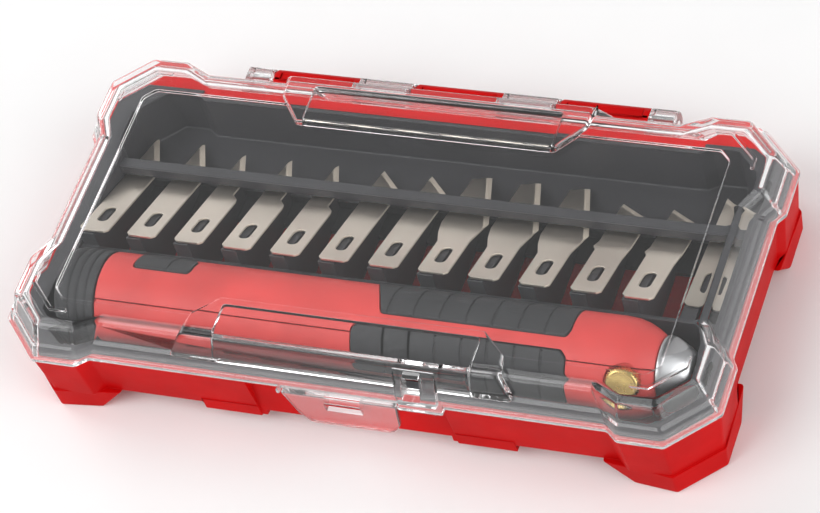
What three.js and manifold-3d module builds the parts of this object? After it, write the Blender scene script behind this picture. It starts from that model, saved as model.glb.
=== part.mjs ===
// Craft-knife set: a fat-handled knife and thirteen loose blades in a flat hinged case.
// Millimetres, +Z up. Origin: centre of the case's footprint, on the surface it stands on.
// +X runs along the case, +Y points to the hinge, so the latch faces -Y.
// Sub-parts are drawn in case coordinates, whose z = 0 is the joint between base and lid,
// and one group lifts and shifts the whole set onto the origin.

import * as THREE from 'three';
import { mergeVertices } from 'three/addons/utils/BufferGeometryUtils.js';
import Module from 'manifold-3d';

const wasm = await Module();
wasm.setup();

// ---------------------------------------------------------------- driving dimensions
const GAP = 0.3;                       // free space between neighbouring pieces
const FOOT_DEPTH = 22;                 // joint plane down to the soles of the feet
const WALL_DEPTH = 15;                 // joint plane down to the bottom edge of the walls
const BELLY_DEPTH = 17.6;              // joint plane down to the underside between the feet
const FLOOR_TOP = -16.1;               // upper face of the base's floor
const LID_HEIGHT = 11;                 // joint plane up to the lid's top
const PAD_RISE = 1.2;                  // raised centre pads above the lid's top
const FLANGE = 1.4;                    // height of the lid's flange band
const LID_FOOT = 2.4;                  // thickness of the lid's wall where it meets the base
const LIP_TOP = 0.7;                   // upper face of the insert's lip, which lies over the base's rim

// Outlines share one layout: four bumpers with cut corners, standing proud of the walls.
const FLANGE_PLAN = { x: 97.5, y: 50.06, cut: 11.8, bumpX: 1.75, bumpY: 2.7, jogX: [70.4, 73.6], jogY: [21.4, 24.1] };
const TOP_PLAN = { x: 93.2, y: 45.43, cut: 9.2, bumpX: 3.4, bumpY: 3.55, jogX: [66.3, 73.9], jogY: [17.5, 24.5] };
const POCKET_PLAN = { x: 90.4, y: 44, cut: 9.5, bumpX: 1.95, bumpY: 2, jogX: [70, 73], jogY: [21, 24] };

// Hinge: red and clear knuckles take turns along one steel pin.
const HINGE_Y = 52;
const HINGE_Z = -2.6;
const KNUCKLE_R = 3.6;
const PIN_R = 1;
const PIN_BORE = PIN_R + 0.15;
const RED_KNUCKLE = 25;                // length of one base knuckle
const KNUCKLE_PITCH = 41;              // distance between base knuckle centres
const END_KNUCKLE = 7;                 // length of the lid's outermost knuckles

// Latch: a tab that hangs from the lid's front edge into a recess of the base.
const RECESS_HALF = 27;
const RECESS_Y = -44.6;
const TAB_TOP = { half: 15.8, y: -49.2, z: 0.9 };
const TAB_FOOT = { half: 12.6, y: -47.5, z: -13.4 };
const TAB_THICKNESS = 1.5;

// Blades lie on slanted ribs with their tips down at the back.
const BLADE_COUNT = 13;
const BLADE_PITCH = 13.7;
const BLADE_WIDTH = 8.2;
const BLADE_THICKNESS = 0.6;
const BLADE_TILT = THREE.MathUtils.degToRad(21.4);
const BLADE_FRONT = { y: -10.3, z: 5 };
const LAST_TILT = THREE.MathUtils.degToRad(9);
const LAST_FRONT = { y: -5.7, z: -2.2 };

// Knife handle: a round body lying along X.
const HANDLE = { y: -24.2, z: -3.6, r: 11.8 };
const HANDLE_WALL = 2.4;
const CAP_JOINT = -73.6;               // where the end cap meets the body
const CAP_END = -86.3;
const SHOULDER = 69;                   // where the body starts to round in
const BODY_END = 78;
const NOSE_END = 86.2;
const PART_LINE = THREE.MathUtils.degToRad(40);     // shells' joint, from the top towards the front
const SCREW_ANGLE = THREE.MathUtils.degToRad(60.5); // thumb screw's axis, measured the same way
const SCREW_X = 71.2;

// The whole set is shifted so that its bounding box is centred on the origin.
const BOX_SHIFT_Y = -(HINGE_Y + KNUCKLE_R - FLANGE_PLAN.y) / 2;

// ---------------------------------------------------------------- colours and finishes
const RED = { color: 0xd01a1c, roughness: 0.4, metalness: 0 };
const CLEAR = { color: 0xe9eef2, roughness: 0.08, metalness: 0, transparent: true, opacity: 0.35 };
const CHARCOAL = { color: 0x33343a, roughness: 0.6, metalness: 0 };
const BODY_RED = { color: 0xd8383a, roughness: 0.45, metalness: 0 };
const RUBBER = { color: 0x26282b, roughness: 0.8, metalness: 0 };
const STEEL = { color: 0xb9b4ab, roughness: 0.3, metalness: 1 };
const ZINC = { color: 0x9da3a5, roughness: 0.35, metalness: 1 };
const BRASS = { color: 0xc9a23c, roughness: 0.3, metalness: 1 };

// ---------------------------------------------------------------- solid helpers
function signedVolume(positions, index) {
  const [a, b, c] = [new THREE.Vector3(), new THREE.Vector3(), new THREE.Vector3()];
  let volume = 0;
  for (let i = 0; i < index.length; i += 3) {
    a.fromArray(positions, index[i] * 3);
    b.fromArray(positions, index[i + 1] * 3);
    c.fromArray(positions, index[i + 2] * 3);
    volume += a.dot(b.cross(c));
  }
  return volume;
}

// A closed geometry becomes a solid whose faces point out.
function solid(geometry) {
  geometry.deleteAttribute('normal');
  geometry.deleteAttribute('uv');
  const merged = mergeVertices(geometry, 1e-4);
  const positions = Float32Array.from(merged.attributes.position.array);
  const index = Uint32Array.from(merged.index.array);
  if (signedVolume(positions, index) < 0) {
    for (let i = 0; i < index.length; i += 3) {
      [index[i + 1], index[i + 2]] = [index[i + 2], index[i + 1]];
    }
  }
  return new wasm.Manifold(new wasm.Mesh({ numProp: 3, vertProperties: positions, triVerts: index }));
}

function geometryOf(body) {
  const mesh = body.getMesh();
  const geometry = new THREE.BufferGeometry();
  geometry.setAttribute('position', new THREE.BufferAttribute(Float32Array.from(mesh.vertProperties), 3));
  geometry.setIndex(new THREE.BufferAttribute(Uint32Array.from(mesh.triVerts), 1));
  geometry.computeVertexNormals();
  return geometry;
}

function box(low, high) {
  const size = high.map((value, i) => value - low[i]);
  const geometry = new THREE.BoxGeometry(...size);
  geometry.translate(...low.map((value, i) => value + size[i] / 2));
  return solid(geometry);
}

// Sections hold the same number of [x, y] points each; walls join neighbouring sections.
function loft(sections) {
  const count = sections[0].points.length;
  const clockwise = THREE.ShapeUtils.isClockWise(sections[0].points.map(([x, y]) => ({ x, y })));
  const ring = ({ points }) => (clockwise ? [...points].reverse() : points);
  const positions = sections.flatMap((section) => ring(section).flatMap(([x, y]) => [x, y, section.z]));
  const index = [];
  for (let s = 0; s < sections.length - 1; s++) {
    for (let i = 0; i < count; i++) {
      const j = (i + 1) % count;
      const [a, b, c, d] = [s * count + i, s * count + j, (s + 1) * count + j, (s + 1) * count + i];
      index.push(a, b, c, a, c, d);
    }
  }
  const caps = [[0, true], [sections.length - 1, false]];
  for (const [s, flip] of caps) {
    const flat = ring(sections[s]).map(([x, y]) => new THREE.Vector2(x, y));
    for (const [a, b, c] of THREE.ShapeUtils.triangulateShape(flat, [])) {
      const face = flip ? [a, c, b] : [a, b, c];
      index.push(...face.map((k) => s * count + k));
    }
  }
  const geometry = new THREE.BufferGeometry();
  geometry.setAttribute('position', new THREE.Float32BufferAttribute(positions, 3));
  geometry.setIndex(index);
  return solid(geometry);
}

function prism(points, low, high) {
  return loft([{ z: low, points }, { z: high, points }]);
}

// A profile of [y, z] points is swept along X.
function sweepX(points, low, high) {
  const geometry = new THREE.ExtrudeGeometry(
    new THREE.Shape(points.map(([y, z]) => new THREE.Vector2(y, z))),
    { depth: high - low, bevelEnabled: false },
  );
  const toX = new THREE.Matrix4().makeBasis(
    new THREE.Vector3(0, 1, 0), new THREE.Vector3(0, 0, 1), new THREE.Vector3(1, 0, 0));
  geometry.applyMatrix4(toX);
  geometry.translate(low, 0, 0);
  return solid(geometry);
}

// A profile of [x, radius] points is turned about the X axis.
function turnX(profile, segments = 32) {
  const points = profile.map(([x, r]) => new THREE.Vector2(r, x));
  const geometry = new THREE.LatheGeometry(points, segments);
  const toX = new THREE.Matrix4().makeBasis(
    new THREE.Vector3(0, 0, 1), new THREE.Vector3(1, 0, 0), new THREE.Vector3(0, 1, 0));
  geometry.applyMatrix4(toX);
  return solid(geometry);
}

function rodX(radius, low, high, y = 0, z = 0, segments = 24) {
  return turnX([[low, 0], [low, radius], [high, radius], [high, 0]], segments).translate(0, y, z);
}

// A cylinder along +Z, for holes and screws.
function rodZ(radius, low, high, segments = 20) {
  const geometry = new THREE.CylinderGeometry(radius, radius, high - low, segments);
  geometry.rotateX(Math.PI / 2);
  geometry.translate(0, 0, (low + high) / 2);
  return solid(geometry);
}

// Mirrors of [x, y] pairs into all four quadrants, as one ring that runs around once.
function fourQuadrants(quarter) {
  const back = (list) => [...list].reverse();
  return [
    ...quarter.map(([x, y]) => [x, -y]),
    ...back(quarter).map(([x, y]) => [x, y]),
    ...quarter.map(([x, y]) => [-x, y]),
    ...back(quarter).map(([x, y]) => [-x, -y]),
  ];
}

function caseOutline(plan, inset = 0) {
  const [x, y] = [plan.x - inset, plan.y - inset];
  const cut = plan.cut - inset * (2 - Math.SQRT2);
  return fourQuadrants([
    [plan.jogX[0], y - plan.bumpY],
    [plan.jogX[1], y],
    [x - cut, y],
    [x, y - cut],
    [x, plan.jogY[1]],
    [x - plan.bumpX, plan.jogY[0]],
  ]);
}

function mixPlan(from, to, t) {
  const mix = (a, b) => (Array.isArray(a) ? a.map((value, i) => mix(value, b[i])) : a + (b - a) * t);
  return Object.fromEntries(Object.keys(from).map((key) => [key, mix(from[key], to[key])]));
}

// The lid's outline at a height: t is 0 at the flange and 1 at the top.
function lidSection(z, t, inset) {
  return { z, points: caseOutline(mixPlan(FLANGE_PLAN, TOP_PLAN, t), inset) };
}

// ---------------------------------------------------------------- base tray
function baseKnuckleCentres() {
  return [-KNUCKLE_PITCH, 0, KNUCKLE_PITCH];
}

// One knuckle: a barrel on the pin's axis with a web that reaches the wall behind it.
function knuckle(low, high, webY, webZ) {
  const barrel = rodX(KNUCKLE_R, low, high, HINGE_Y, HINGE_Z);
  const web = box([low, webY, webZ[0]], [high, HINGE_Y, webZ[1]]);
  const bore = rodX(PIN_BORE, low - 1, high + 1, HINGE_Y, HINGE_Z);
  return barrel.add(web).subtract(bore);
}

function cornerFoot(sx, sy) {
  const sole = [[73, 46.6], [85, 47.8], [95.3, 37.6], [95.3, 24], [84, 24], [73, 35]];
  const root = [[66, 46.4], [85, 48.4], [95.9, 37.6], [95.2, 17.6], [82, 20], [68, 34]];
  const place = (list) => list.map(([x, y]) => [x * sx, y * sy]);
  return loft([{ z: -FOOT_DEPTH, points: place(sole) }, { z: -WALL_DEPTH + 0.5, points: place(root) }]);
}

function baseTray() {
  const rim = -GAP;
  let tray = loft([
    { z: -BELLY_DEPTH, points: caseOutline(FLANGE_PLAN, 5) },
    { z: -WALL_DEPTH, points: caseOutline(FLANGE_PLAN, 2.2) },
    { z: rim, points: caseOutline(FLANGE_PLAN, 0.6) },
  ]);
  for (const sx of [-1, 1]) {
    tray = tray.add(cornerFoot(sx, -1)).add(cornerFoot(sx, 1));
    // The front wall comes lower on both sides of the latch recess.
    const [near, far] = [RECESS_HALF - 1.5, 43].map((x) => x * sx).sort((a, b) => a - b);
    tray = tray.add(sweepX([[-45.1, -BELLY_DEPTH], [-45.3, -13], [-41, -13], [-41, -BELLY_DEPTH]], near, far));
  }
  tray = tray.subtract(prism(caseOutline(POCKET_PLAN), FLOOR_TOP, 5));
  // Recess for the latch.
  tray = tray.subtract(box([-RECESS_HALF, -55, -30], [RECESS_HALF, RECESS_Y, 5]));
  // Catch that stands behind the tab's window.
  const root = RECESS_Y + 0.5;
  tray = tray.add(sweepX([[-46.9, -5.4], [root, -6.4], [root, -2.8], [-46.9, -3.4]], -4.2, 4.2));
  const webTop = rim - 0.4;
  for (const centre of baseKnuckleCentres()) {
    const [low, high] = [centre - RED_KNUCKLE / 2, centre + RED_KNUCKLE / 2];
    tray = tray.add(knuckle(low, high, 46, [HINGE_Z - KNUCKLE_R, webTop]));
  }
  return tray;
}

function hingePin() {
  const half = KNUCKLE_PITCH + RED_KNUCKLE / 2 + END_KNUCKLE - 0.6;
  return rodX(PIN_R, -half, half, HINGE_Y, HINGE_Z);
}

// ---------------------------------------------------------------- lid
function lidShell() {
  const outside = loft([
    lidSection(0, 0, 0),
    lidSection(FLANGE, 0, 0),
    lidSection(FLANGE + 0.01, 0.08, 0.3),
    lidSection(4.5, 0.34, 0.3),
    lidSection(5.3, 0.46, 0.75),
    lidSection(10, 0.93, 0.1),
    lidSection(LID_HEIGHT, 1, 0.4),
  ]);
  const panel = prism([[-82, -36], [82, -36], [82, 34.5], [-82, 34.5]], LID_HEIGHT - 0.6, LID_HEIGHT + 2);
  return outside.subtract(panel).add(centrePad(-1)).add(centrePad(1))
    .subtract(lidInside()).subtract(padHollow(-1)).subtract(padHollow(1));
}

function lidInside() {
  return loft([
    lidSection(-1, 0, LID_FOOT),
    lidSection(0, 0, LID_FOOT),
    lidSection(9.2, 0.84, 2.7),
  ]);
}

// Raised pad at the middle of the front or back edge; it also thickens the wall below it.
function centrePad(sy) {
  const inner = sy < 0 ? 30.2 : 28.4;
  const place = (list) => list.map(([x, y]) => [x, y * sy]);
  const outline = (reach, spread) => [
    [-36, inner], [-42.6, 36.6], [-spread, reach], [spread, reach], [42.6, 36.6], [36, inner],
  ];
  return loft([
    { z: 5.6, points: place(outline(46.2, 47)) },
    { z: 10.6, points: place(outline(44.2, 44.2)) },
    { z: LID_HEIGHT + PAD_RISE, points: place(outline(43.2, 43)) },
  ]);
}

// The lid's inner face follows the raised pads, so that the wall stays about as thick there.
function padHollow(sy) {
  const inner = sy < 0 ? 31.8 : 30;
  const half = 35;
  const outline = (reach) => [
    [-half, inner * sy], [-half, reach * sy], [half, reach * sy], [half, inner * sy],
  ];
  return loft([
    { z: -1, points: outline(44.6) },
    { z: 5, points: outline(43.2) },
    { z: LID_HEIGHT + PAD_RISE - 1.6, points: outline(41.4) },
  ]);
}

// Ridge on a corner of the top that keeps a stacked case from sliding.
function stackingRidge(sx, sy) {
  const path = [[90.3, 30], [90.3, 34.2], [82.2, 42.2], [77.4, 42.2]];
  const inner = [[77.4, 41.2], [81.8, 41.2], [89.3, 33.8], [89.3, 30]];
  const ring = [...path, ...inner].map(([x, y]) => [x * sx * 0.985, y * sy * 0.965]);
  const block = box([-1.3, -2.1, 0], [1.3, 2.1, 1.2]);
  const end = sy < 0 ? [78.2 * sx, 40.2 * sy] : [88.2 * sx, 31 * sy];
  return prism(ring, LID_HEIGHT - 0.8, LID_HEIGHT + 0.9)
    .add(block.rotate(0, 0, sy < 0 ? 90 : 0).translate(end[0], end[1], LID_HEIGHT - 0.3));
}

function lidKnuckles() {
  const spans = [];
  const edge = RED_KNUCKLE / 2 + GAP;
  for (const side of [-1, 1]) {
    const between = [edge, KNUCKLE_PITCH - edge];
    const end = [KNUCKLE_PITCH + edge, KNUCKLE_PITCH + edge + END_KNUCKLE];
    for (const span of [between, end]) {
      spans.push(span.map((x) => x * side).sort((a, b) => a - b));
    }
  }
  return spans.map(([low, high]) => knuckle(low, high, 45.5, [0, FLANGE + 0.6])
    .add(box([low, HINGE_Y - 1.2, HINGE_Z + 1.4], [high, HINGE_Y + 1.2, FLANGE + 0.6]))
    .subtract(rodX(PIN_BORE, low - 1, high + 1, HINGE_Y, HINGE_Z)));
}

// Square eye beside the latch, for a padlock or a cord.
function lockEye() {
  return loft([
    { z: 0, points: [[15.4, -43], [15.4, -49], [26.4, -49], [26.4, -43]] },
    { z: LID_HEIGHT, points: [[15.4, -38.5], [15.4, -44.2], [26.4, -44.2], [26.4, -38.5]] },
  ]);
}

function lid() {
  let cover = lidShell();
  for (const sx of [-1, 1]) {
    cover = cover.add(stackingRidge(sx, -1)).add(stackingRidge(sx, 1));
  }
  for (const part of lidKnuckles()) {
    cover = cover.add(part);
  }
  // Shelf over the latch recess, carrying the eye.
  cover = cover.add(box([-17, -49.2, 0], [28.2, -45.5, FLANGE]));
  cover = cover.add(lockEye().subtract(lidInside()));
  cover = cover.subtract(box([17.4, -60, 2.6], [22.2, -30, 8.4]));
  const slot = box([-TAB_TOP.half - GAP, -60, -2], [TAB_TOP.half + GAP, TAB_TOP.y + TAB_THICKNESS + GAP, 3]);
  return cover.subtract(slot);
}

// Latch tab: slants in towards its foot and has a window for the catch.
function lidLatch() {
  const section = ({ half, y, z }) => {
    const back = y + TAB_THICKNESS;
    return { z, points: [[-half, y], [half, y], [half, back], [-half, back]] };
  };
  const kneeZ = TAB_FOOT.z + 4;
  const knee = { half: TAB_FOOT.half + 1.4, y: TAB_FOOT.y - 0.3, z: kneeZ };
  const foot = { half: TAB_FOOT.half - 2.2, y: TAB_FOOT.y, z: TAB_FOOT.z };
  const low = { half: TAB_FOOT.half, y: TAB_FOOT.y, z: TAB_FOOT.z + 1.6 };
  return loft([section(foot), section(low), section(knee), section(TAB_TOP)])
    .subtract(box([-4.9, -60, -6.1], [4.9, -40, -2.7]));
}

// ---------------------------------------------------------------- insert
function bladeCentre(i) {
  return (i - (BLADE_COUNT - 1) / 2) * BLADE_PITCH;
}

function isLast(i) {
  return i === BLADE_COUNT - 1;
}

// Height of a blade's middle plane above a point of its slope.
function slopeHeight(i, y) {
  const front = isLast(i) ? LAST_FRONT : BLADE_FRONT;
  const tilt = isLast(i) ? LAST_TILT : BLADE_TILT;
  return front.z - (y - front.y) * Math.tan(tilt);
}

function bladeRib(i) {
  const clearance = BLADE_THICKNESS / 2 + GAP + 0.05;
  const [near, far] = [-10.9, 22];
  const profile = [
    [near, -15.8],
    [near, slopeHeight(i, near) - clearance],
    [far, slopeHeight(i, far) - clearance],
    [far, -15.8],
  ];
  const left = bladeCentre(i) - BLADE_WIDTH / 2;
  return sweepX(profile, left, left + 4.4);
}

// The lip lies over the base's rim at the front and the ends; at the back the rim stays bare.
function insertLip() {
  const back = POCKET_PLAN.y - GAP;
  return prism(caseOutline(FLANGE_PLAN, LID_FOOT + 2 * GAP), 0, LIP_TOP)
    .subtract(box([-100, back, -1], [100, 60, 2]))
    .subtract(box([-71, back - POCKET_PLAN.bumpY, -1], [71, 60, 2]));
}

function insertTray() {
  const bottom = FLOOR_TOP + GAP;
  const floor = -14.3;
  const wall = 1.3;
  let tray = prism(caseOutline(POCKET_PLAN, GAP), bottom, LIP_TOP).add(insertLip());
  tray = tray.subtract(prism(caseOutline(POCKET_PLAN, GAP + wall), floor, 5));
  // The base's floor shows between the ribs and under the handle.
  const inner = POCKET_PLAN.x - 3.8;
  tray = tray.subtract(box([-inner, -10, -30], [inner, 13, -10]));
  tray = tray.subtract(box([-inner, -31, -30], [inner, -17.4, -10]));
  // Wall between the knife's bay and the blades.
  tray = tray.add(box([-inner - 0.6, -12, bottom], [inner + 0.6, -10.8, -0.6]));
  for (let i = 0; i < BLADE_COUNT; i++) {
    tray = tray.add(bladeRib(i));
  }
  // Low wall in front of the compartment for the blades' tips.
  tray = tray.add(box([-inner - 0.6, 21, bottom], [inner + 0.6, 23, -11.6]));
  // Rail that holds the blades down.
  const railUnderside = slopeHeight(0, 16.4) + BLADE_THICKNESS / 2 + GAP + 0.4;
  const railEnd = inner + 1;
  tray = tray.add(sweepX([
    [16.4, railUnderside], [19.8, railUnderside - 0.9], [19.8, -1.2], [16.4, -1.2],
  ], -railEnd, railEnd));
  // Cradles shaped to the handle.
  const seat = rodX(HANDLE.r + 0.7, -100, 100, HANDLE.y, HANDLE.z, 32);
  for (const x of [-52, 22]) {
    tray = tray.add(box([x - 4, -41, bottom], [x + 4, -11, -6]).subtract(seat));
  }
  return tray;
}

// ---------------------------------------------------------------- blades
// Outlines start at the shank's end and run to the tip; x is across, y is along the blade.
const HALF = BLADE_WIDTH / 2;
const SHANK_END = [[HALF - 1, 0], [-HALF + 1, 0], [-HALF, 1]];

const BLADE_OUTLINES = {
  plain: [...SHANK_END, [-HALF, 49], [-HALF + 0.6, 49.5], [HALF, 33], [HALF, 1]],
  notched: [
    ...SHANK_END, [-HALF, 45], [-HALF + 0.5, 46.5], [HALF - 2.2, 33], [HALF - 2.2, 25.6],
    [HALF - 0.4, 23.6], [HALF, 22], [HALF, 1],
  ],
  slanted: [...SHANK_END, [-HALF, 46.5], [HALF, 37], [HALF, 1]],
  broad: [
    ...SHANK_END, [-HALF, 15], [-HALF - 1.4, 19], [-HALF - 2.4, 24], [-HALF - 2.4, 47], [-1.6, 49],
    [HALF + 1.8, 26], [HALF + 1.2, 24], [HALF, 17], [HALF, 1],
  ],
  wedge: [
    ...SHANK_END, [-HALF, 20], [-HALF - 0.9, 21.5], [-HALF - 0.2, 24], [-HALF - 0.2, 43.6],
    [HALF + 0.6, 37], [HALF + 0.6, 23], [HALF, 17], [HALF, 1],
  ],
  straight: [...SHANK_END, [-HALF, 40], [HALF, 33.5], [HALF, 1]],
};

const BLADE_KINDS = [
  'plain', 'plain', 'notched', 'notched', 'notched', 'slanted', 'slanted',
  'broad', 'broad', 'broad', 'wedge', 'wedge', 'straight',
];

function slotPath() {
  const [radius, low, high] = [1.6, 6.4, 10.8];
  const path = new THREE.Path();
  path.absarc(0, low, radius, Math.PI, 2 * Math.PI, false);
  path.absarc(0, high, radius, 0, Math.PI, false);
  path.closePath();
  return path;
}

function blade(kind) {
  const shape = new THREE.Shape(BLADE_OUTLINES[kind].map(([x, y]) => new THREE.Vector2(x, y)));
  shape.holes.push(slotPath());
  const geometry = new THREE.ExtrudeGeometry(shape, { depth: BLADE_THICKNESS, bevelEnabled: false, curveSegments: 6 });
  geometry.translate(0, 0, -BLADE_THICKNESS / 2);
  return geometry;
}

// ---------------------------------------------------------------- knife handle
// Angles run from the top (+Z) towards the front (-Y), about the handle's own axis.
function turnTo(body, angle) {
  return body.rotate(THREE.MathUtils.radToDeg(angle), 0, 0);
}

function handleProfile() {
  const r = HANDLE.r;
  return [
    [CAP_JOINT + GAP, r], [SHOULDER, r], [SHOULDER + 3.5, r - 0.6], [SHOULDER + 6.5, r - 2], [BODY_END, r - 4],
  ];
}

function shellTube() {
  const bore = HANDLE.r - HANDLE_WALL;
  const mouth = 5.8;
  return turnX([
    [CAP_JOINT + GAP, bore], ...handleProfile(),
    [BODY_END, mouth], [SHOULDER + 3, mouth], [SHOULDER, bore], [CAP_JOINT + GAP, bore],
  ]);
}

// Boss columns between the shells, one for each shell screw.
const SHELL_SCREWS = [-52, 4, 50];

function bosses(radius, low, high) {
  return SHELL_SCREWS.map((x) => turnTo(rodZ(radius, low, high), PART_LINE + Math.PI / 2).translate(x, 0, 0));
}

// Flat outline of a grip pad seen along its own direction: x along the handle, s across it.
function padPrism({ x0, x1, s0, s1, slant, corner, angle }, grow) {
  const [a, b, c, d] = [x0 - grow, x1 + grow, s0 - grow, s1 + grow];
  const outline = [
    [a - slant, c], [b - corner * 0.2, c], [b, c + corner * 0.4], [b, d - corner],
    [b - corner, d], [a + corner, d], [a, d - corner * 0.6],
  ];
  return turnTo(prism(outline, 0, 30), angle);
}

// s points to the rear at angle zero, so each pad's s limits are sines of its edges times the radius.
const deg = THREE.MathUtils.degToRad;
const PADS = {
  grip_pad_rear: { x0: 0, x1: 56, s0: -8.1, s1: 8.3, slant: -6, corner: 4, angle: deg(-33) },
  grip_pad_front: { x0: -1, x1: 56, s0: -6.6, s1: 6.5, slant: 0, corner: 1.5, angle: deg(63) },
  thumb_pad: { x0: -65, x1: -49, s0: -4.6, s1: 4.4, slant: 0, corner: 3, angle: deg(-33) },
};

function gripPad(name) {
  const r = HANDLE.r;
  const skin = turnX([[-70, r - 1], [-70, r + 0.25], [66, r + 0.25], [66, r - 1], [-70, r - 1]]);
  return skin.intersect(padPrism(PADS[name], 0));
}

function padPockets() {
  const r = HANDLE.r;
  const bottom = r - 1 - GAP;
  const skin = turnX([[-72, bottom], [-72, r + 3], [68, r + 3], [68, bottom], [-72, bottom]]);
  return Object.values(PADS).map((pad) => skin.intersect(padPrism(pad, GAP)));
}

// side is +1 for the front and lower shell, -1 for the rear and upper one.
function handleShell(side) {
  let shell = shellTube();
  const inner = HANDLE.r - 1;
  for (const boss of bosses(3.1, -inner, inner)) {
    shell = shell.add(boss);
  }
  for (const pocket of padPockets()) {
    shell = shell.subtract(pocket);
  }
  for (const hole of bosses(1.3, side > 0 ? -12 : -7.6, 12)) {
    shell = shell.subtract(hole);
  }
  for (const sink of bosses(2.6, 9, 14)) {
    shell = shell.subtract(sink);
  }
  const screwSeat = rodZ(5, 9.8, 16, 32).add(rodZ(2, 0, 12));
  shell = shell.subtract(turnTo(screwSeat, SCREW_ANGLE).translate(SCREW_X, 0, 0));
  const half = box([-100, -30, 0.15], [100, 30, 30]);
  return shell.intersect(turnTo(half, PART_LINE + (side * Math.PI) / 2));
}

function endCap() {
  const r = HANDLE.r + 0.1;
  const bore = HANDLE.r - HANDLE_WALL - GAP;
  return turnX([
    [CAP_END, 0], [CAP_END, r - 3.2], [CAP_END + 0.9, r - 1.2], [CAP_END + 2.6, r - 0.2], [CAP_END + 4, r],
    [CAP_JOINT, r], [CAP_JOINT, bore], [CAP_JOINT + 6, bore], [CAP_JOINT + 6, 0],
  ]);
}

// The clamp plate rests at the top of its way, and the thumb screw pushes it towards the blade slot.
const PLATE_WAY_TOP = 3;
const PLATE_THICKNESS = 1.1;

function noseBolster() {
  const shank = 5.4;
  const start = 58;
  const nose = turnX([
    [start, 0], [start, shank], [BODY_END + GAP, shank], [BODY_END + GAP, 8.4], [BODY_END + 2, 8.4],
    [NOSE_END - 1, 5.2], [NOSE_END, 4.4], [NOSE_END, 0],
  ], 32);
  const slot = box([start - 1, -4.5, -0.6], [NOSE_END + 1, 4.5, 0.7]);
  const plateWay = box([60, -3.3, 0.3], [78, 3.3, PLATE_WAY_TOP]);
  const screwWay = rodZ(2, 2, 8).translate(SCREW_X, 0, 0);
  return nose.subtract(turnTo(slot.add(plateWay).add(screwWay), SCREW_ANGLE));
}

function clampPlate() {
  const top = PLATE_WAY_TOP - GAP + 0.05;
  return turnTo(box([60.4, -3, top - PLATE_THICKNESS], [77.6, 3, top]), SCREW_ANGLE);
}

// Knurled head on a plain shank, along +Z before it is turned to its angle.
function thumbScrew() {
  const teeth = 24;
  const knurl = Array.from({ length: teeth * 2 }, (_, i) => {
    const radius = i % 2 ? 4.2 : 4.6;
    const angle = (i * Math.PI) / teeth;
    return [radius * Math.cos(angle), radius * Math.sin(angle)];
  });
  const head = prism(knurl, 10.2, 13);
  return turnTo(head.add(rodZ(1.6, PLATE_WAY_TOP + 0.05, 10.4)), SCREW_ANGLE).translate(SCREW_X, 0, 0);
}

function shellScrew(x) {
  const head = rodZ(2.2, 9.4, 10.8);
  const shank = rodZ(1, -7, 9.6);
  return turnTo(head.add(shank), PART_LINE + Math.PI / 2).translate(x, 0, 0);
}

// ---------------------------------------------------------------- assembly
function named(name, shape, finish) {
  const geometry = shape instanceof THREE.BufferGeometry ? shape : geometryOf(shape);
  const mesh = new THREE.Mesh(geometry, new THREE.MeshStandardMaterial(finish));
  mesh.name = name;
  return mesh;
}

function handleGroup() {
  const group = new THREE.Group();
  group.add(
    named('handle_shell_front', handleShell(1), BODY_RED),
    named('handle_shell_rear', handleShell(-1), BODY_RED),
    named('end_cap', endCap(), RUBBER),
    named('nose_bolster', noseBolster(), ZINC),
    named('clamp_plate', clampPlate(), STEEL),
    named('thumb_screw', thumbScrew(), BRASS),
  );
  for (const name of Object.keys(PADS)) {
    group.add(named(name, gripPad(name), RUBBER));
  }
  SHELL_SCREWS.forEach((x, i) => group.add(named(`shell_screw_${i + 1}`, shellScrew(x), STEEL)));
  group.position.set(0, HANDLE.y, HANDLE.z);
  return group;
}

function bladeMesh(i) {
  const mesh = named(`blade_${String(i + 1).padStart(2, '0')}`, blade(BLADE_KINDS[i]), STEEL);
  const front = isLast(i) ? LAST_FRONT : BLADE_FRONT;
  mesh.position.set(bladeCentre(i), front.y, front.z);
  mesh.rotation.x = -(isLast(i) ? LAST_TILT : BLADE_TILT);
  return mesh;
}

const knifeSet = new THREE.Group();
knifeSet.add(
  named('base_tray', baseTray(), RED),
  named('hinge_pin', hingePin(), STEEL),
  named('lid', lid(), CLEAR),
  named('lid_latch', lidLatch(), CLEAR),
  named('insert_tray', insertTray(), CHARCOAL),
  handleGroup(),
);
for (let i = 0; i < BLADE_COUNT; i++) {
  knifeSet.add(bladeMesh(i));
}
knifeSet.position.set(0, BOX_SHIFT_Y, FOOT_DEPTH);

const root = new THREE.Group();
root.add(knifeSet);
export default root;
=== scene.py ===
"""Looks for the craft-knife set: metres, +Z up, +Y towards the hinge, as in the CAD frame."""

import math

import bmesh
import bpy
from mathutils import Matrix, Vector


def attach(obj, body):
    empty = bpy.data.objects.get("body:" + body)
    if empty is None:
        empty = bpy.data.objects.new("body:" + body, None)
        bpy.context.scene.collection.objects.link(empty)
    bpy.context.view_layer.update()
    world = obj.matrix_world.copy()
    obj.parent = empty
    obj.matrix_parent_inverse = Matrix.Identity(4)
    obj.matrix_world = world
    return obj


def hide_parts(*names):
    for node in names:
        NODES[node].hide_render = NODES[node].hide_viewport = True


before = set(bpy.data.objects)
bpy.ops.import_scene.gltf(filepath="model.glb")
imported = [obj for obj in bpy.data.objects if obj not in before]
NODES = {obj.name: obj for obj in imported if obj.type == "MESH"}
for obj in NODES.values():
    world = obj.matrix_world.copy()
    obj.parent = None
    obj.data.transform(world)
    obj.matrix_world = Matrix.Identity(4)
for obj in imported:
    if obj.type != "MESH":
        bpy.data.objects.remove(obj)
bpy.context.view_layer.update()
MM = 0.001

# ------------------------------------------------------------------ material helpers


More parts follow.
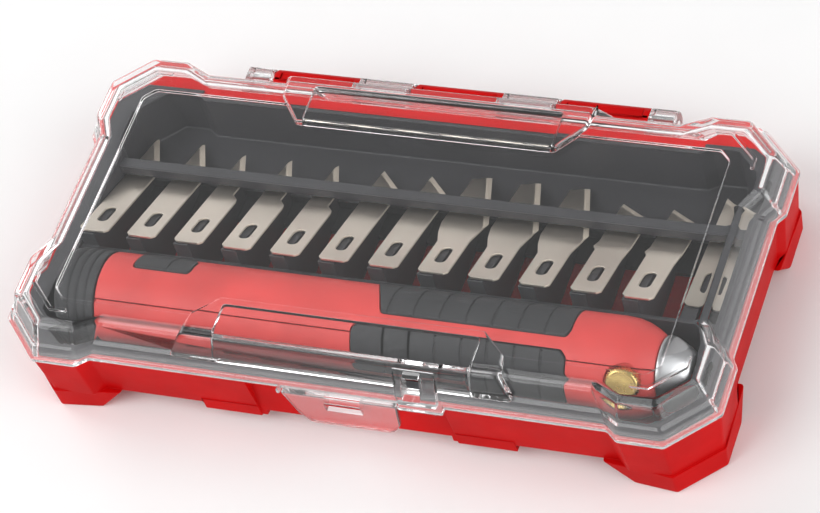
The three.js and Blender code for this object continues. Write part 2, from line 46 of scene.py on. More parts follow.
def new_material(name):
    """A new material with its node tree and its Principled shader."""
    material = bpy.data.materials.new(name)
    material.use_nodes = True
    tree = material.node_tree
    shader = tree.nodes["Principled BSDF"]
    return material, tree, shader


def set_inputs(shader, values):
    for key, value in values.items():
        shader.inputs[key].default_value = value


def noise(tree, scale, detail, stretch=(1, 1, 1)):
    """Noise in the object's own coordinates, scaled per metre."""
    place = tree.nodes.new("ShaderNodeTexCoord")
    mapping = tree.nodes.new("ShaderNodeMapping")
    mapping.inputs["Scale"].default_value = stretch
    texture = tree.nodes.new("ShaderNodeTexNoise")
    set_inputs(texture, {"Scale": scale, "Detail": detail})
    tree.links.new(place.outputs["Object"], mapping.inputs["Vector"])
    tree.links.new(mapping.outputs["Vector"], texture.inputs["Vector"])
    return texture


def ramp(tree, source, stops):
    node = tree.nodes.new("ShaderNodeValToRGB")
    elements = node.color_ramp.elements
    while len(elements) < len(stops):
        elements.new(0.5)
    for element, (position, color) in zip(elements, stops):
        element.position = position
        element.color = (*color, 1.0)
    tree.links.new(source, node.inputs["Fac"])
    return node.outputs["Color"]


def map_range(tree, source, low, high):
    node = tree.nodes.new("ShaderNodeMapRange")
    node.inputs["To Min"].default_value = low
    node.inputs["To Max"].default_value = high
    tree.links.new(source, node.inputs["Value"])
    return node.outputs["Result"]


def bump(tree, shader, source, distance, strength=1.0):
    node = tree.nodes.new("ShaderNodeBump")
    node.inputs["Strength"].default_value = strength
    node.inputs["Distance"].default_value = distance
    tree.links.new(source, node.inputs["Height"])
    tree.links.new(node.outputs["Normal"], shader.inputs["Normal"])


def shade(color, factor):
    return tuple(min(1.0, c * factor) for c in color)


def moulded(name, color, roughness, grain=900, grain_depth=0.00002, mottle=0.12, gloss_level=0.5):
    """Injection-moulded plastic: faint mottling, fine surface grain and uneven gloss."""
    material, tree, shader = new_material(name)
    cloud = noise(tree, 60, 4)
    stops = [(0.3, shade(color, 1 - mottle)), (0.7, shade(color, 1 + mottle))]
    tint = ramp(tree, cloud.outputs["Fac"], stops)
    tree.links.new(tint, shader.inputs["Base Color"])
    gloss = noise(tree, 140, 3)
    spread = map_range(tree, gloss.outputs["Fac"], roughness * 0.8, roughness * 1.2)
    tree.links.new(spread, shader.inputs["Roughness"])
    fine = noise(tree, grain, 2)
    bump(tree, shader, fine.outputs["Fac"], grain_depth)
    shader.inputs["Specular IOR Level"].default_value = gloss_level
    return material


def metal(name, color, roughness, along=(1, 1, 1), grain=800, depth=0.000006):
    """Metal with fine grinding or casting marks that run along one direction."""
    material, tree, shader = new_material(name)
    shader.inputs["Metallic"].default_value = 1.0
    cloud = noise(tree, 45, 4)
    tint = ramp(tree, cloud.outputs["Fac"], [(0.3, shade(color, 0.88)), (0.7, shade(color, 1.08))])
    tree.links.new(tint, shader.inputs["Base Color"])
    marks = noise(tree, grain, 3, stretch=along)
    spread = map_range(tree, marks.outputs["Fac"], roughness * 0.7, roughness * 1.35)
    tree.links.new(spread, shader.inputs["Roughness"])
    bump(tree, shader, marks.outputs["Fac"], depth)
    return material


# Height above the floor in mm, and the share of light that goes through the clear plastic; the rest scatters
# as a painted white highlight that stands in for the light the walls and flange band gather and reflect.
CLEAR_PAINTED_HIGHLIGHT_BANDS = [
    (21.4, 0.98), (22.2, 0.86), (23.4, 0.88), (24.2, 0.985), (29.6, 0.985), (31.0, 0.994), (34.2, 0.994),
]


def clear_plastic(name):
    """Polished clear moulding with very slight flow waviness and a painted white highlight on its walls and
    flange band. Lamps reach what lies behind it.
    """
    material, tree, shader = new_material(name)
    set_inputs(shader, {"Base Color": (0.99, 0.992, 0.995, 1), "Transmission Weight": 1.0, "IOR": 1.5})
    wave = noise(tree, 30, 2)
    spread = map_range(tree, wave.outputs["Fac"], 0.0, 0.03)
    tree.links.new(spread, shader.inputs["Roughness"])
    # Painted highlight: the flange band and the walls scatter more white than the top, standing in for the
    # light they gather along the sheet and reflect.
    place = tree.nodes.new("ShaderNodeTexCoord")
    split = tree.nodes.new("ShaderNodeSeparateXYZ")
    tree.links.new(place.outputs["Object"], split.inputs["Vector"])
    top = CLEAR_PAINTED_HIGHLIGHT_BANDS[-1][0]
    height = map_range(tree, split.outputs["Z"], 0.0, 1.0)
    set_inputs(height.node, {"From Min": 0.0, "From Max": top * MM})
    through = ramp(tree, height, [(z / top, (share,) * 3) for z, share in CLEAR_PAINTED_HIGHLIGHT_BANDS])
    tree.links.new(through, shader.inputs["Transmission Weight"])
    flow = noise(tree, 18, 1)
    bump(tree, shader, flow.outputs["Fac"], 0.00003, 0.3)
    path = tree.nodes.new("ShaderNodeLightPath")
    passing = tree.nodes.new("ShaderNodeBsdfTransparent")
    passing.inputs["Color"].default_value = (0.93, 0.93, 0.93, 1)
    either = tree.nodes.new("ShaderNodeMixShader")
    tree.links.new(path.outputs["Is Shadow Ray"], either.inputs["Fac"])
    tree.links.new(shader.outputs["BSDF"], either.inputs[1])
    tree.links.new(passing.outputs["BSDF"], either.inputs[2])
    tree.links.new(either.outputs["Shader"], tree.nodes["Material Output"].inputs["Surface"])
    return material


def ground_steel(name, color, roughness):
    """Blade steel: polished flats with grinding lines across, and matt bevels that lean to one side."""
    material = metal(name, color, roughness, along=(0.08, 1, 1))
    tree = material.node_tree
    shader = tree.nodes["Principled BSDF"]
    polished = shader.inputs["Roughness"].links[0].from_socket
    facing = tree.nodes.new("ShaderNodeNewGeometry")
    split = tree.nodes.new("ShaderNodeSeparateXYZ")
    tree.links.new(facing.outputs["True Normal"], split.inputs["Vector"])
    lean = map_range(tree, split.outputs["X"], 0.0, 0.4)
    set_inputs(lean.node, {"From Min": 0.04, "From Max": 0.12})
    total = tree.nodes.new("ShaderNodeMath")
    tree.links.new(polished, total.inputs[0])
    tree.links.new(lean, total.inputs[1])
    tree.links.new(total.outputs["Value"], shader.inputs["Roughness"])
    return material


RED = moulded("red_case", (0.52, 0.0015, 0.002), 0.48, gloss_level=0.08)
BODY_RED = moulded("handle_red", (0.56, 0.05, 0.046), 0.45, gloss_level=0.35)
CHARCOAL = moulded("insert_charcoal", (0.03, 0.03, 0.034), 0.5, grain=1400, grain_depth=0.00003)
RUBBER = moulded("grip_rubber", (0.02, 0.021, 0.023), 0.62, grain=2200, grain_depth=0.00004)
CLEAR = clear_plastic("clear_lid")
STEEL = metal("plain_steel", (0.6, 0.6, 0.6), 0.3)
BLADE = ground_steel("blade_steel", (0.74, 0.67, 0.58), 0.32)
ZINC = metal("cast_zinc", (0.6, 0.61, 0.62), 0.34, grain=1500)
BRASS = metal("brass", (0.8, 0.58, 0.22), 0.25)

# ------------------------------------------------------------------ case dimensions (mm, as in the CAD)
LIFT = 22.0                                # joint plane above the floor
SHIFT_Y = -2.77                            # case coordinates to row frame
# An outline has four bumpers with cut corners, which stand proud of the walls between them.
FLANGE_PLAN = dict(
    x=97.5, y=50.06, cut=11.8, bump_x=1.75, bump_y=2.7, jog_x=(70.4, 73.6), jog_y=(21.4, 24.1))
TOP_PLAN = dict(
    x=93.2, y=45.43, cut=9.2, bump_x=3.4, bump_y=3.55, jog_x=(66.3, 73.9), jog_y=(17.5, 24.5))
POCKET_PLAN = dict(
    x=90.4, y=44.0, cut=9.5, bump_x=1.95, bump_y=2.0, jog_x=(70.0, 73.0), jog_y=(21.0, 24.0))
HINGE_Y, HINGE_Z, KNUCKLE_R, PIN_R = 52.0, -2.6, 3.6, 1.0
RED_KNUCKLE, KNUCKLE_PITCH, END_KNUCKLE = 25.0, 41.0, 7.0
RECESS_HALF, RECESS_Y = 27.0, -44.6
LID_TOP, PAD_TOP = 11.0, 12.2

# ------------------------------------------------------------------ mesh helpers


def to_object(name, edit):
    """Turns an edit mesh in case millimetres into an object in the row frame."""
    bmesh.ops.recalc_face_normals(edit, faces=edit.faces)
    mesh = bpy.data.meshes.new(name)
    edit.to_mesh(mesh)
    edit.free()
    mesh.transform(Matrix.Scale(MM, 4) @ Matrix.Translation((0, SHIFT_Y, LIFT)))
    piece = bpy.data.objects.new(name, mesh)
    bpy.context.scene.collection.objects.link(piece)
    return piece


def rounded(points, radius, steps=4):
    """A ring with each corner eased; every corner gives the same number of points."""
    ring = []
    count = len(points)
    for i in range(count):
        before, corner, after = (Vector(points[(i + k) % count]) for k in (-1, 0, 1))
        arm_in, arm_out = before - corner, after - corner
        turn = math.pi - arm_in.angle(arm_out)
        reach = min(radius * math.tan(turn / 2), 0.45 * arm_in.length, 0.45 * arm_out.length)
        start = corner + arm_in.normalized() * reach
        end = corner + arm_out.normalized() * reach
        for k in range(steps + 1):
            s = k / steps
            ring.append(start * (1 - s) ** 2 + corner * 2 * s * (1 - s) + end * s ** 2)
    return ring


def four_quadrants(quarter):
    back = quarter[::-1]
    return ([(x, -y) for x, y in quarter] + [(x, y) for x, y in back]
            + [(-x, y) for x, y in quarter] + [(-x, -y) for x, y in back])


def case_outline(plan, inset=0.0):
    x, y = plan["x"] - inset, plan["y"] - inset
    cut = plan["cut"] - inset * (2 - math.sqrt(2))
    return four_quadrants([
        (plan["jog_x"][0], y - plan["bump_y"]),
        (plan["jog_x"][1], y),
        (x - cut, y),
        (x, y - cut),
        (x, plan["jog_y"][1]),
        (x - plan["bump_x"], plan["jog_y"][0]),
    ])


def mix_plan(t):
    def mix(a, b):
        return tuple(mix(p, q) for p, q in zip(a, b)) if isinstance(a, tuple) else a + (b - a) * t
    return {key: mix(FLANGE_PLAN[key], TOP_PLAN[key]) for key in FLANGE_PLAN}


def loft(edit, sections):
    """Closed skin through (z, ring) sections that all have the same number of points."""
    rows = [[edit.verts.new((p[0], p[1], z)) for p in ring] for z, ring in sections]
    count = len(rows[0])
    for low, high in zip(rows, rows[1:]):
        for i in range(count):
            j = (i + 1) % count
            edit.faces.new((low[i], low[j], high[j], high[i]))
    edit.faces.new(rows[0][::-1])
    edit.faces.new(rows[-1])
    return edit


def lofted(name, sections):
    return to_object(name, loft(bmesh.new(), sections))


def boxed(name, low, high, soft=0.0):
    """A block with its edges rounded by soft millimetres."""
    edit = bmesh.new()
    bmesh.ops.create_cube(edit, size=1.0)
    for vert in edit.verts:
        vert.co = Vector(low[k] + (vert.co[k] + 0.5) * (high[k] - low[k]) for k in range(3))
    if soft:
        bmesh.ops.bevel(edit, geom=edit.edges[:], offset=soft, segments=2, profile=0.5, affect="EDGES")
    return to_object(name, edit)


def turned_x(name, profile, place, segments):
    """A closed body turned about an axis along X through place = (y, z).

    The profile holds (x, radius) pairs and runs from axis to axis.
    """
    edit = bmesh.new()
    rows = []
    for x, radius in profile:
        if radius == 0:
            rows.append([edit.verts.new((x, place[0], place[1]))])
            continue
        rows.append([
            edit.verts.new((x, place[0] + radius * math.sin(a), place[1] + radius * math.cos(a)))
            for a in (2 * math.pi * k / segments for k in range(segments))])
    for one, two in zip(rows, rows[1:]):
        for k in range(segments):
            n = (k + 1) % segments
            corners = [one[k % len(one)], one[n % len(one)], two[n % len(two)], two[k % len(two)]]
            edit.faces.new(list(dict.fromkeys(corners)))
    return to_object(name, edit)


def swept_x(name, points, low, high):
    """A (y, z) outline swept along X."""
    edit = bmesh.new()
    rows = [[edit.verts.new((x, y, z)) for y, z in points] for x in (low, high)]
    count = len(points)
    for i in range(count):
        j = (i + 1) % count
        edit.faces.new((rows[0][i], rows[0][j], rows[1][j], rows[1][i]))
    edit.faces.new(rows[0][::-1])
    edit.faces.new(rows[1])
    return to_object(name, edit)


def combine(target, tools, operation):
    """Joins or cuts with each tool in turn, uses the tools up and keeps the result as plain mesh."""
    for tool in tools:
        step = target.modifiers.new("step", "BOOLEAN")
        step.operation = operation
        step.solver = "EXACT"
        step.object = tool
        bpy.context.view_layer.update()
        result = bpy.data.meshes.new_from_object(target.evaluated_get(bpy.context.evaluated_depsgraph_get()))
        target.modifiers.clear()
        target.data = result
        bpy.data.objects.remove(tool)
    return target


def finish_piece(piece, name, material, body, nodes, soft=0.0, segments=2, angle=30):
    """Names and paints a piece, rounds what is still sharp, and hangs it on its body."""
    piece.name = name
    piece.data.materials.clear()
    piece.data.materials.append(material)
    if soft:
        bevel = piece.modifiers.new("bevel", "BEVEL")
        bevel.width = soft * MM
        bevel.segments = segments
        bevel.limit_method = "ANGLE"
        bevel.angle_limit = math.radians(angle)
        bevel.use_clamp_overlap = False
    for polygon in piece.data.polygons:
        polygon.use_smooth = True
    weighted = piece.modifiers.new("weighted", "WEIGHTED_NORMAL")
    weighted.weight = 90
    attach(piece, body)
    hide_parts(*nodes)
    return piece

# ------------------------------------------------------------------ lid


def lid_ring(z, t, inset):
    """A section of the lid: t is 0 at the flange and 1 at the top."""
    return z, rounded(case_outline(mix_plan(t), inset), 1.6)


def centre_pad(sy, sink):
    """Raised pad at the middle of the front or back edge of the lid."""
    inner = 30.2 if sy < 0 else 28.4

    def outline(reach, spread, shrink=0.0):
        half = [(36, inner), (42.6, 36.6), (spread, reach)]
        half = [(x - shrink, y + (shrink if y == inner else 0)) for x, y in half]
        points = [(-x, y) for x, y in half] + half[::-1]
        return rounded([(x, y * sy) for x, y in points], 1.2)

    return lofted("pad", [
        (sink, outline(46.2, 47)), (10.6, outline(44.2, 44.2)), (11.6, outline(43.6, 43.4)),
        (12.0, outline(43.3, 43.1, 0.25)), (PAD_TOP, outline(42.9, 42.8, 0.7))])


def pad_hollow(sy):
    """The inner face follows the raised pad, so that the wall stays about as thick there."""
    inner = 31.8 if sy < 0 else 30.0

    def ring(reach):
        corners = [(-35, inner), (-35, reach), (35, reach), (35, inner)]
        return rounded([(x, y * sy) for x, y in corners], 1.0)

    return lofted("pad_hollow", [(-1, ring(44.6)), (5, ring(43.2)), (PAD_TOP - 1.6, ring(41.4))])


def stacking_ridge(sx, sy):
    """Low bent ridge near a corner of the lid's top."""
    outer = [(88.9, 29.6), (88.9, 33.0), (81.0, 40.7), (76.2, 40.7)]
    inner = [(76.2, 39.8), (80.6, 39.8), (88.0, 32.6), (88.0, 29.6)]
    ring = rounded([(x * sx, y * sy) for x, y in outer + inner], 0.3, 2)
    return lofted("ridge", [(10.2, ring), (11.7, ring)])


def knuckle(low, high):
    soft = 0.35
    profile = [
        (low, 0), (low, KNUCKLE_R - soft), (low + soft, KNUCKLE_R),
        (high - soft, KNUCKLE_R), (high, KNUCKLE_R - soft), (high, 0)]
    return turned_x("knuckle", profile, (HINGE_Y, HINGE_Z), 40)


def pin_bore():
    radius = PIN_R + 0.15
    profile = [(-70, 0), (-70, radius), (70, radius), (70, 0)]
    return turned_x("bore", profile, (HINGE_Y, HINGE_Z), 24)


def lid_knuckle_spans():
    edge = RED_KNUCKLE / 2 + 0.3
    spans = [(edge, KNUCKLE_PITCH - edge), (KNUCKLE_PITCH + edge, KNUCKLE_PITCH + edge + END_KNUCKLE)]
    return spans + [(-high, -low) for low, high in spans]


# Sections of the lid's outer face: height, share of the way from flange to top, inset.
LID_FACE = [
    (0.0, 0, 0.35), (0.12, 0, 0.1), (0.4, 0, 0.0), (1.05, 0, 0.0),                      # flange band
    (1.3, 0, 0.1), (1.42, 0.02, 0.32), (1.6, 0.1, 0.4),                                 # step above it
    (4.3, 0.32, 0.3), (4.75, 0.37, 0.42), (5.1, 0.43, 0.7), (5.5, 0.48, 0.74),          # groove half way up
    (9.4, 0.88, 0.1), (10.1, 0.93, 0.14), (10.6, 0.96, 0.38), (10.88, 0.98, 0.8), (LID_TOP, 1, 1.4),
]
LID_HOLLOW = [
    (-1.0, 0, 2.4), (0.0, 0, 2.4), (7.6, 0.7, 2.65), (8.5, 0.78, 3.0), (9.0, 0.82, 3.5), (9.2, 0.84, 4.4),
]


def sunk_panel():
    """Shallow field with cut corners in the middle of the lid's top."""
    points = [(-82, -33), (-79, -36), (79, -36), (82, -33), (82, 31.5), (79, 34.5), (-79, 34.5), (-82, 31.5)]
    wider = [(x * 1.004, y * 1.008) for x, y in points]
    return lofted("panel", [(LID_TOP - 0.55, rounded(points, 2)), (LID_TOP + 0.1, rounded(wider, 2))])


def lock_eye():
    foot = [(15.4, -43), (15.4, -49), (26.4, -49), (26.4, -43)]
    head = [(15.4, -38.5), (15.4, -44.2), (26.4, -44.2), (26.4, -38.5)]
    return lofted("eye", [(0.05, foot), (10.8, head)])


def build_lid():
    cover = lofted("lid_outer", [lid_ring(*section) for section in LID_FACE])
    cover = combine(cover, [sunk_panel()], "DIFFERENCE")
    cover = combine(cover, [centre_pad(-1, 5.6), centre_pad(1, 5.6)], "UNION")
    cover = combine(cover, [stacking_ridge(sx, sy) for sx in (-1, 1) for sy in (-1, 1)], "UNION")
    shelf = boxed("shelf", (-17, -49.2, 0.02), (28.2, -45.5, 1.38), 0.3)
    cover = combine(cover, [shelf, lock_eye()], "UNION")
    knuckles = []
    for low, high in lid_knuckle_spans():
        knuckles.append(knuckle(low, high))
        knuckles.append(boxed("web", (low, 45.5, 0.05), (high, HINGE_Y, 1.95)))
        strap_foot = (low, HINGE_Y - 1.2, HINGE_Z + 1.4)
        knuckles.append(boxed("strap", strap_foot, (high, HINGE_Y + 1.2, 1.9)))
    cover = combine(cover, knuckles, "UNION")
    cuts = [
        lofted("inside", [lid_ring(*section) for section in LID_HOLLOW]),
        pad_hollow(-1),
        pad_hollow(1),
        boxed("eye_window", (17.4, -60, 2.6), (22.2, -30, 8.4), 0.3),
        boxed("latch_slot", (-16.1, -60, -2), (16.1, -47.4, 3)),
        pin_bore()]
    cover = combine(cover, cuts, "DIFFERENCE")
    return finish_piece(cover, "clear_cover", CLEAR, "lid", ["lid"], 0.18)

# ------------------------------------------------------------------ base and hinge


def corner_foot(sx, sy):
    sole = [(73, 46.6), (85, 47.8), (95.3, 37.6), (95.3, 24), (84, 24), (73, 35)]
    root = [(66, 46.4), (85, 48.4), (95.9, 37.6), (95.2, 17.6), (82, 20), (68, 34)]
    centre_x, centre_y = 84, 36

    def place(points, shrink=0.0):
        eased = [(x - (x - centre_x) * shrink, y - (y - centre_y) * shrink) for x, y in points]
        return rounded([(x * sx, y * sy) for x, y in eased], 1.2)

    return lofted("foot", [(-22.0, place(sole, 0.05)), (-21.5, place(sole)), (-14.5, place(root))])


def front_apron(sx):
    """The front wall comes lower on both sides of the latch recess."""
    near, far = sorted((sx * (RECESS_HALF - 1.5), sx * 43))
    return swept_x("apron", [(-45.1, -17.6), (-45.3, -13), (-41, -13), (-41, -17.6)], near, far)


def build_base():
    def ring(z, inset):
        return z, rounded(case_outline(FLANGE_PLAN, inset), 1.4)

    tray = lofted("tray", [
        ring(-17.6, 6.0), ring(-17.5, 5.4), ring(-15.3, 2.6), ring(-14.8, 2.3),
        ring(-0.8, 0.62), ring(-0.45, 0.75), ring(-0.3, 1.1)])
    feet = []
    for sx in (-1, 1):
        feet += [corner_foot(sx, sy) for sy in (-1, 1)]
        feet.append(front_apron(sx))
    tray = combine(tray, feet, "UNION")
    pocket_ring = rounded(case_outline(POCKET_PLAN), 1.4)
    pocket = lofted("pocket", [(-16.1, pocket_ring), (5, pocket_ring)])
    recess = boxed("recess", (-RECESS_HALF, -55, -30), (RECESS_HALF, RECESS_Y, 5))
    tray = combine(tray, [pocket, recess], "DIFFERENCE")
    root = RECESS_Y + 0.5
    parts = [swept_x("catch", [(-46.9, -5.4), (root, -6.4), (root, -2.8), (-46.9, -3.4)], -4.2, 4.2)]
    cuts = [pin_bore()]
    for centre in (-KNUCKLE_PITCH, 0, KNUCKLE_PITCH):
        low, high = centre - RED_KNUCKLE / 2, centre + RED_KNUCKLE / 2
        parts.append(knuckle(low, high))
        parts.append(boxed("web", (low, 46, HINGE_Z - KNUCKLE_R), (high, HINGE_Y, -0.7), 0.2))
        # A shallow channel runs along each knuckle between raised end cheeks.
        channel_foot = (centre - 10.6, HINGE_Y - 1.6, HINGE_Z + 3.1)
        cuts.append(boxed("channel", channel_foot, (centre + 10.6, HINGE_Y + 1.2, 6), 0.2))
    tray = combine(tray, parts, "UNION")
    tray = combine(tray, cuts, "DIFFERENCE")
    return finish_piece(tray, "red_tray", RED, "case", ["base_tray"], 0.22)

# ------------------------------------------------------------------ insert

BLADE_COUNT, BLADE_PITCH, BLADE_WIDTH, BLADE_THICKNESS = 13, 13.7, 8.2, 0.6
BLADE_POSE = dict(y=-10.3, z=5.0, tilt=math.radians(21.4))
LAST_POSE = dict(y=-5.7, z=-2.2, tilt=math.radians(9))
HANDLE_Y, HANDLE_Z, HANDLE_R = -24.2, -3.6, 11.8


def blade_x(i):
    return (i - (BLADE_COUNT - 1) / 2) * BLADE_PITCH


def blade_pose(i):
    return LAST_POSE if i == BLADE_COUNT - 1 else BLADE_POSE


def slope(i, y):
    pose = blade_pose(i)
    return pose["z"] - (y - pose["y"]) * math.tan(pose["tilt"])


def insert_lip(top):
    """The lip lies over the base's rim, just inside the lid's wall; at the back the rim stays bare."""
    lip_edge = [(0.02, 3.1), (0.15, 3.0), (top - 0.2, 3.0), (top, 3.3)]
    lip = lofted("lip", [(z, rounded(case_outline(FLANGE_PLAN, inset), 1.4)) for z, inset in lip_edge])
    hole = rounded(case_outline(POCKET_PLAN, 0.9), 1.2)
    back = POCKET_PLAN["y"] - 0.3
    cuts = [lofted("hole", [(-1, hole), (2, hole)]),
            boxed("bare", (-100, back, -1), (100, 60, 2)),
            boxed("bare", (-71, back - POCKET_PLAN["bump_y"], -1), (71, 60, 2))]
    return combine(lip, cuts, "DIFFERENCE")


def joined(target, extra):
    """Adds another closed skin to a piece without a boolean."""
    edit = bmesh.new()
    edit.from_mesh(target.data)
    edit.from_mesh(extra.data)
    edit.to_mesh(target.data)
    edit.free()
    bpy.data.objects.remove(extra)
    return target


def blade_rib(i, bottom):
    """Slanted rib under one side of a blade."""
    left = blade_x(i) - BLADE_WIDTH / 2
    drop = BLADE_THICKNESS / 2 + 0.35
    near, far = -10.9, 22
    profile = [(near, bottom), (near, slope(i, near) - drop), (far, slope(i, far) - drop), (far, bottom)]
    return swept_x("rib", profile, left, left + 4.4)


def blade_rail():
    """Rail across the insert that holds the blades down."""
    under = slope(0, 16.4) + BLADE_THICKNESS / 2 + 0.7
    profile = [(16.4, under), (19.8, under - 0.9), (19.8, -1.5), (19.5, -1.2), (16.7, -1.2), (16.4, -1.5)]
    return swept_x("rail", profile, -87.6, 87.6)


def knife_cradle(x, bottom):
    """Block with a round seat for the knife's handle."""
    seat_r, top = HANDLE_R + 0.7, -6
    angles = [math.radians(d) for d in range(72, -73, -8)]
    arc = [(HANDLE_Y + seat_r * math.sin(a), HANDLE_Z - seat_r * math.cos(a)) for a in angles]
    arc = [(y, z) for y, z in arc if z < top - 0.05]
    front = [(-41, bottom), (-41, top), (arc[-1][0], top)]
    back = [(arc[0][0], top), (-11, top), (-11, bottom)]
    return swept_x("cradle", front + arc[::-1] + back, x - 4, x + 4)


def build_insert():
    bottom, floor, top = -15.8, -14.3, 0.7

    def ring(z, inset):
        return z, rounded(case_outline(POCKET_PLAN, inset), 1.2)

    tray = lofted("insert", [ring(bottom, 0.7), ring(bottom + 0.5, 0.3), ring(top, 0.3)])
    cuts = [
        lofted("cavity", [ring(floor, 1.9), ring(floor + 0.6, 1.6), ring(top - 0.1, 1.6), ring(5, 1.4)]),
        boxed("rib_window", (-86.6, -10, -30), (86.6, 13, -10)),
        boxed("bay_window", (-86.6, -31, -30), (86.6, -17.4, -10))]
    tray = combine(tray, cuts, "DIFFERENCE")
    parts = [boxed("divider", (-87.2, -12, bottom), (87.2, -10.8, -0.6))]
    parts += [blade_rib(i, bottom) for i in range(BLADE_COUNT)]
    parts.append(boxed("sill", (-87.2, 21, bottom), (87.2, 23, -11.6)))
    parts.append(blade_rail())
    parts += [knife_cradle(x, bottom) for x in (-52, 22)]
    tray = combine(tray, parts, "UNION")
    tray = joined(tray, insert_lip(top))
    return finish_piece(tray, "dark_insert", CHARCOAL, "case", ["insert_tray"], 0.25)

# ------------------------------------------------------------------ blades

HALF = BLADE_WIDTH / 2
SHANK_END = [(HALF - 1, 0), (-HALF + 1, 0), (-HALF, 1)]
# Each kind: the left side up to the tip, and the right side from the heel of the cutting edge.
# x is across, y is along the blade from the shank's end.
BLADE_KINDS = {
    "plain": ([(-HALF, 49), (-HALF + 0.6, 49.5)], [(HALF, 33), (HALF, 1)]),
    "notched": (
        [(-HALF, 45), (-HALF + 0.5, 46.5)],
        [(HALF - 2.2, 33), (HALF - 2.2, 25.6), (HALF - 0.4, 23.6), (HALF, 22), (HALF, 1)]),
    "slanted": ([(-HALF, 46.5)], [(HALF, 37), (HALF, 1)]),
    "broad": (
        [(-HALF, 15), (-HALF - 1.4, 19), (-HALF - 2.4, 24), (-HALF - 2.4, 47), (-1.6, 49)],
        [(HALF + 1.8, 26), (HALF + 1.2, 24), (HALF, 17), (HALF, 1)]),
    "wedge": (
        [(-HALF, 20), (-HALF - 0.9, 21.5), (-HALF - 0.2, 24), (-HALF - 0.2, 43.6)],
        [(HALF + 0.6, 37), (HALF + 0.6, 23), (HALF, 17), (HALF, 1)]),
    "straight": ([(-HALF, 40)], [(HALF, 33.5), (HALF, 1)]),
}
KIND_ORDER = ["plain"] * 2 + ["notched"] * 3 + ["slanted"] * 2 + ["broad"] * 3 + ["wedge"] * 2 + ["straight"]
GRIND = 1.5                                # width of the ground bevel along the cutting edge
EDGE = 0.04                                # half of the thickness left at the cutting edge
WEDGE_REACH = 6.0                          # how far a grinding wedge goes on past the edge
TO_BLADE = Matrix.Translation((0, -SHIFT_Y * MM, -LIFT * MM))     # undoes the case's shift


def blade_slot():
    """Ring of the round-ended slot in the shank."""
    radius, low, high, steps = 1.6, 6.4, 10.8, 8
    turns = [math.pi * k / steps for k in range(steps + 1)]
    lower = [(radius * math.cos(math.pi + a), low + radius * math.sin(math.pi + a)) for a in turns]
    upper = [(radius * math.cos(a), high + radius * math.sin(a)) for a in turns]
    return lower + upper


def blade_plate(outline):
    """Flat plate with the slot through it, lying in its own plane."""
    half = BLADE_THICKNESS / 2
    rings = [outline, [Vector(p) for p in blade_slot()]]
    edit = bmesh.new()
    top, low = ([[edit.verts.new((p.x, p.y, z)) for p in ring] for ring in rings] for z in (half, -half))
    for one, two in zip(top, low):
        for k in range(len(one)):
            j = (k + 1) % len(one)
            edit.faces.new((one[k], one[j], two[j], two[k]))
    for ring_pair in (top, low):
        border = []
        for ring in ring_pair:
            border += [edit.edges.get(pair) for pair in zip(ring, ring[1:] + ring[:1])]
        bmesh.ops.triangle_fill(edit, edges=border, use_beauty=True)
    plate = to_object("blade", edit)
    plate.data.transform(TO_BLADE)
    return plate


def grinding_wedge(tip, heel, side):
    """Body that grinds one face of the blade down to a fine line along tip to heel."""
    half = BLADE_THICKNESS / 2
    along = (heel - tip).normalized()
    inward = Vector((along.y, -along.x))
    if inward.y > 0:
        inward = -inward
    sunk = half - (half - EDGE) * (GRIND + WEDGE_REACH) / GRIND
    edit = bmesh.new()
    rows = []
    for end in (tip - along * 12, heel + along * 12):
        near, far = end + inward * GRIND, end - inward * WEDGE_REACH
        corners = [(near, half), (far, sunk), (far, 3), (near, 3)]
        rows.append([edit.verts.new((p.x, p.y, side * z)) for p, z in corners])
    edit.faces.new(rows[0])
    edit.faces.new(rows[1][::-1])
    for k in range(4):
        j = (k + 1) % 4
        edit.faces.new((rows[0][k], rows[0][j], rows[1][j], rows[1][k]))
    wedge = to_object("wedge", edit)
    wedge.data.transform(TO_BLADE)
    return wedge


def build_blade(i):
    left, right = BLADE_KINDS[KIND_ORDER[i]]
    outline = [Vector(p) for p in SHANK_END + left + right]
    tip, heel = Vector(left[-1]), Vector(right[0])
    blade = combine(blade_plate(outline), [grinding_wedge(tip, heel, side) for side in (1, -1)], "DIFFERENCE")
    pose = blade_pose(i)
    turn = Matrix.Rotation(-pose["tilt"], 4, "X")
    place = Matrix.Translation((blade_x(i), pose["y"], pose["z"])) @ turn
    to_metres = Matrix.Scale(MM, 4)
    to_row = Matrix.Translation((0, SHIFT_Y, LIFT))
    blade.data.transform(to_metres @ to_row @ place @ to_metres.inverted())
    node = f"blade_{i + 1:02d}"
    piece = finish_piece(blade, f"steel_{node}", BLADE, node, [node], 0.05, 1, 40)
    for polygon in piece.data.polygons:
        polygon.use_smooth = False
    return piece

# ------------------------------------------------------------------ knife
CAP_JOINT, CAP_END, SHOULDER, BODY_END, NOSE_END = -73.6, -86.3, 69.0, 78.0, 86.2
PART_LINE, SCREW_ANGLE, SCREW_X = 40.0, 60.5, 71.2
SHELL_SCREWS = (-52, 4, 50)
# s runs to the rear across a pad seen along its own direction.
PADS = {
    "grip_pad_rear": dict(x0=0, x1=56, s0=-8.1, s1=8.3, slant=-6, corner=4, angle=-33),
    "grip_pad_front": dict(x0=-1, x1=56, s0=-6.6, s1=6.5, slant=0, corner=1.5, angle=63),
    "thumb_pad": dict(x0=-65, x1=-49, s0=-4.6, s1=4.4, slant=0, corner=3, angle=-33),
}
RIB_PITCH = 7.0                            # between the grooves across a pad
HANDLE_AXIS = (HANDLE_Y, HANDLE_Z)


def barrel(name, profile, segments=96):
    """A body turned about the knife's own axis."""
    return turned_x(name, profile, HANDLE_AXIS, segments)


def rod(name, low, high, radius):
    return barrel(name, [(low, 0), (low, radius), (high, radius), (high, 0)])


